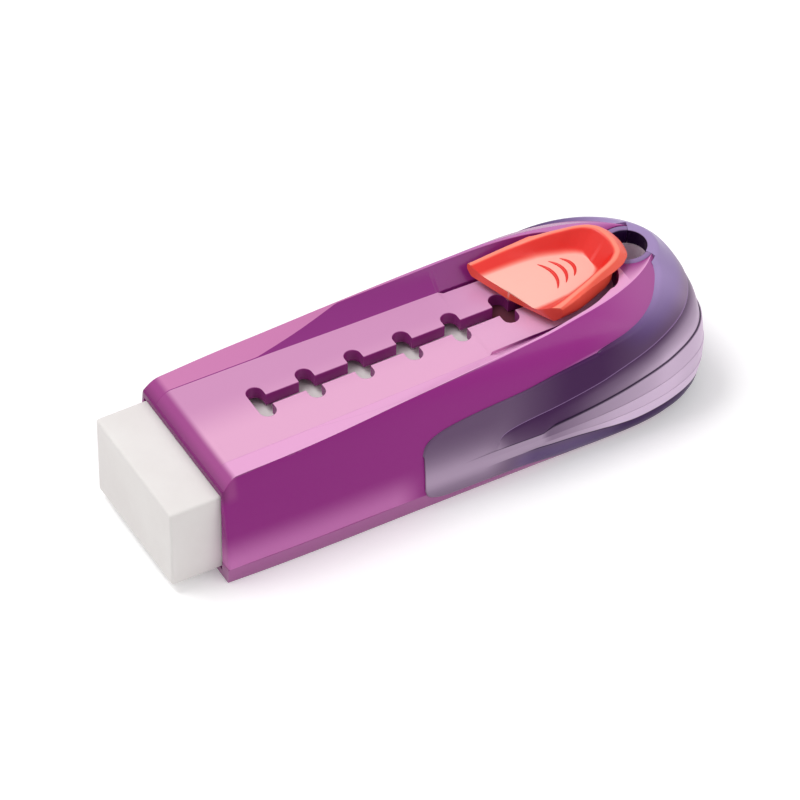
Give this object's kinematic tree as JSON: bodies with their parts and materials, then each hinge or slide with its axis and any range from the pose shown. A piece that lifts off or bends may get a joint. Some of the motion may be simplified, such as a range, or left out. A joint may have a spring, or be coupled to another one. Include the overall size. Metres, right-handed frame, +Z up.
{
  "type": "sliding block eraser",
  "caption": "Pocket eraser: a vinyl block in a translucent case, pushed out along a notched slot by a spring-loaded thumb button, with a wrap-around rear grip and a lanyard eye.",
  "frame": {"origin": "bottom centre of the object's box, on the desk", "axes": "+X from the eraser's tip to the rounded rear end, +Y across, +Z up from the desk through the deck"},
  "size_m": [0.0787, 0.0274, 0.0214],
  "materials": {
    "case_plastic": "polished translucent magenta-purple polystyrene",
    "grip_plastic": "satin translucent violet-grey overmould",
    "button_plastic": "satin coral, lighter on the floor of the thumb hollow",
    "stem_plastic": "dark red-brown",
    "carrier_plastic": "dark red-brown",
    "eraser_vinyl": "matt white vinyl with softened edges",
    "bush_plastic": "pale",
    "spring_steel": "bright wire"
  },
  "bodies": {
    "case": {"upper_case": "case_plastic", "lower_case": "case_plastic", "rear_grip": "grip_plastic", "eyelet_bush": "bush_plastic"},
    "carrier": {"eraser_carrier": "carrier_plastic", "eraser_block": "eraser_vinyl", "return_spring": "spring_steel"},
    "button": {"thumb_button": "button_plastic", "latch_stem": "stem_plastic"}
  },
  "joints": [
    {"name": "eraser_slide", "type": "slide", "parent": "case", "child": "carrier", "axis": [-1, 0, 0], "range_m": [0, 0.042]},
    {"name": "button_press", "type": "slide", "parent": "carrier", "child": "button", "axis": [0, 0, -1], "range_m": [0, 0.0009], "stiffness_N_per_m": 1500, "springref_m": -0.001, "deforming": ["return_spring"]}
  ]
}
